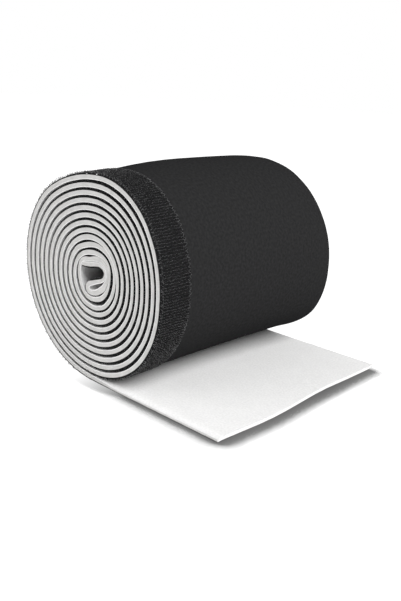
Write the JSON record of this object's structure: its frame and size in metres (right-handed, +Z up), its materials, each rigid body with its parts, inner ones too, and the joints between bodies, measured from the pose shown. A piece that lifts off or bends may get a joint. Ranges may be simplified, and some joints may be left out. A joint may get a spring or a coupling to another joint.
{
  "type": "hook and loop tape roll",
  "caption": "Roll of wide laminated foam cable wrap with a white loop lining, a black fabric face and a hook strip along one edge, its free end laid out flat.",
  "frame": {"origin": "on the floor, under the middle of the object's bounding box", "axes": "+X the way the free end points, Y along the roll's axis with the hook strip at the -Y edge, +Z up"},
  "size_m": [0.1502, 0.138, 0.1123],
  "materials": {
    "lining_cloth": "brushed white loop pile, matt",
    "foam_core": "pale grey cut foam, fine closed cells, matt",
    "face_cloth": "black fine knit, soft sheen",
    "hook_tape": "black woven tape set with fine moulded hooks"
  },
  "bodies": {
    "roll": {"lining_roll": "lining_cloth", "foam_roll": "foam_core", "face_roll": "face_cloth", "hook_tape_roll": "hook_tape"},
    "tail_1": {"lining_tail_1": "lining_cloth", "foam_tail_1": "foam_core", "face_tail_1": "face_cloth", "hook_tape_tail_1": "hook_tape"},
    "tail_2": {"lining_tail_2": "lining_cloth", "foam_tail_2": "foam_core", "face_tail_2": "face_cloth", "hook_tape_tail_2": "hook_tape"},
    "tail_3": {"lining_tail_3": "lining_cloth", "foam_tail_3": "foam_core", "face_tail_3": "face_cloth", "hook_tape_tail_3": "hook_tape"},
    "tail_4": {"lining_tail_4": "lining_cloth", "foam_tail_4": "foam_core", "face_tail_4": "face_cloth", "hook_tape_tail_4": "hook_tape"}
  },
  "joints": [
    {"name": "tail_lift_1", "type": "hinge", "parent": "roll", "child": "tail_1", "pos_m": [-0.00734, 0, 0.00325], "axis": [0, -1, 0], "range_deg": [0, 21]},
    {"name": "tail_lift_2", "type": "hinge", "parent": "tail_1", "child": "tail_2", "pos_m": [0.01328, 0, 0.00325], "axis": [0, -1, 0], "range_deg": [0, 21]},
    {"name": "tail_lift_3", "type": "hinge", "parent": "tail_2", "child": "tail_3", "pos_m": [0.03391, 0, 0.00325], "axis": [0, -1, 0], "range_deg": [0, 21]},
    {"name": "tail_lift_4", "type": "hinge", "parent": "tail_3", "child": "tail_4", "pos_m": [0.05453, 0, 0.00325], "axis": [0, -1, 0], "range_deg": [0, 21]}
  ]
}
